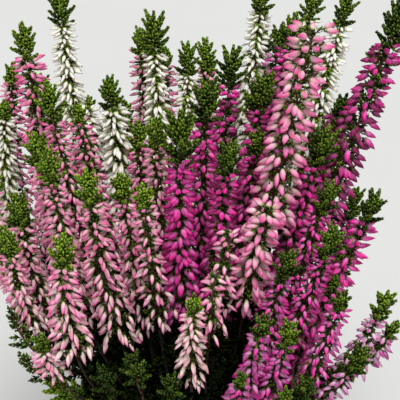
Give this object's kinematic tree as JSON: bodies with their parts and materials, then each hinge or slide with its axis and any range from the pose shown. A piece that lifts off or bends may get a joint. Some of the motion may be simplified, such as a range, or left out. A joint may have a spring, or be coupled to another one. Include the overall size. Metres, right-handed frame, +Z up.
{
  "type": "potted heather",
  "caption": "Bud-blooming heather in white, pale pink and magenta, its leafy-tipped flower spikes fanning up out of a round black nursery pot filled with peat.",
  "frame": {"origin": "centre of the pot's flat underside, on the surface that the pot stands on", "axes": "+Z up along the pot's axis, -Y towards the front of the plant, +X to its right"},
  "size_m": [0.1717, 0.1708, 0.262],
  "materials": {
    "pot_plastic": "black moulded nursery plastic with a dull sheen",
    "peat": "dark crumbly peat with bark fibres",
    "white_petals": "ivory closed buds, satin and slightly translucent",
    "pale_pink_petals": "pink closed buds, cream at the base, satin",
    "magenta_petals": "magenta closed buds, paler at the base, satin",
    "foliage": "scale leaves, fresh green at the tips and dull dark green below",
    "woody_stem": "red-brown thin bark"
  },
  "bodies": {
    "root": {"pot": "pot_plastic", "soil": "peat", "white_spray_01": "white_petals", "white_spray_02": "white_petals", "white_spray_03": "white_petals", "white_spray_04": "white_petals", "white_spray_05": "white_petals", "white_spray_06": "white_petals", "white_spray_07": "white_petals", "white_spray_08": "white_petals", "white_spray_09": "white_petals", "white_spray_10": "white_petals", "white_spray_11": "white_petals", "white_spray_12": "white_petals", "white_spray_13": "white_petals", "pale_pink_spray_01": "pale_pink_petals", "pale_pink_spray_02": "pale_pink_petals", "pale_pink_spray_03": "pale_pink_petals", "pale_pink_spray_04": "pale_pink_petals", "pale_pink_spray_05": "pale_pink_petals", "pale_pink_spray_06": "pale_pink_petals", "pale_pink_spray_07": "pale_pink_petals", "pale_pink_spray_08": "pale_pink_petals", "pale_pink_spray_09": "pale_pink_petals", "pale_pink_spray_10": "pale_pink_petals", "pale_pink_spray_11": "pale_pink_petals", "pale_pink_spray_12": "pale_pink_petals", "pale_pink_spray_13": "pale_pink_petals", "pale_pink_spray_14": "pale_pink_petals", "pale_pink_spray_15": "pale_pink_petals", "pale_pink_spray_16": "pale_pink_petals", "pale_pink_spray_17": "pale_pink_petals", "pale_pink_spray_18": "pale_pink_petals", "pale_pink_spray_19": "pale_pink_petals", "pale_pink_spray_20": "pale_pink_petals", "pale_pink_spray_21": "pale_pink_petals", "magenta_spray_01": "magenta_petals", "magenta_spray_02": "magenta_petals", "magenta_spray_03": "magenta_petals", "magenta_spray_04": "magenta_petals", "magenta_spray_05": "magenta_petals", "magenta_spray_06": "magenta_petals", "magenta_spray_07": "magenta_petals", "magenta_spray_08": "magenta_petals", "magenta_spray_09": "magenta_petals", "magenta_spray_10": "magenta_petals", "magenta_spray_11": "magenta_petals", "magenta_spray_12": "magenta_petals", "magenta_spray_13": "magenta_petals", "magenta_spray_14": "magenta_petals", "magenta_spray_15": "magenta_petals", "magenta_spray_16": "magenta_petals", "magenta_spray_17": "magenta_petals", "magenta_spray_18": "magenta_petals", "magenta_spray_19": "magenta_petals", "leafy_shoot_01": "foliage", "leafy_shoot_02": "foliage", "leafy_shoot_03": "foliage", "leafy_shoot_04": "foliage", "leafy_shoot_05": "foliage"}
  },
  "joints": []
}
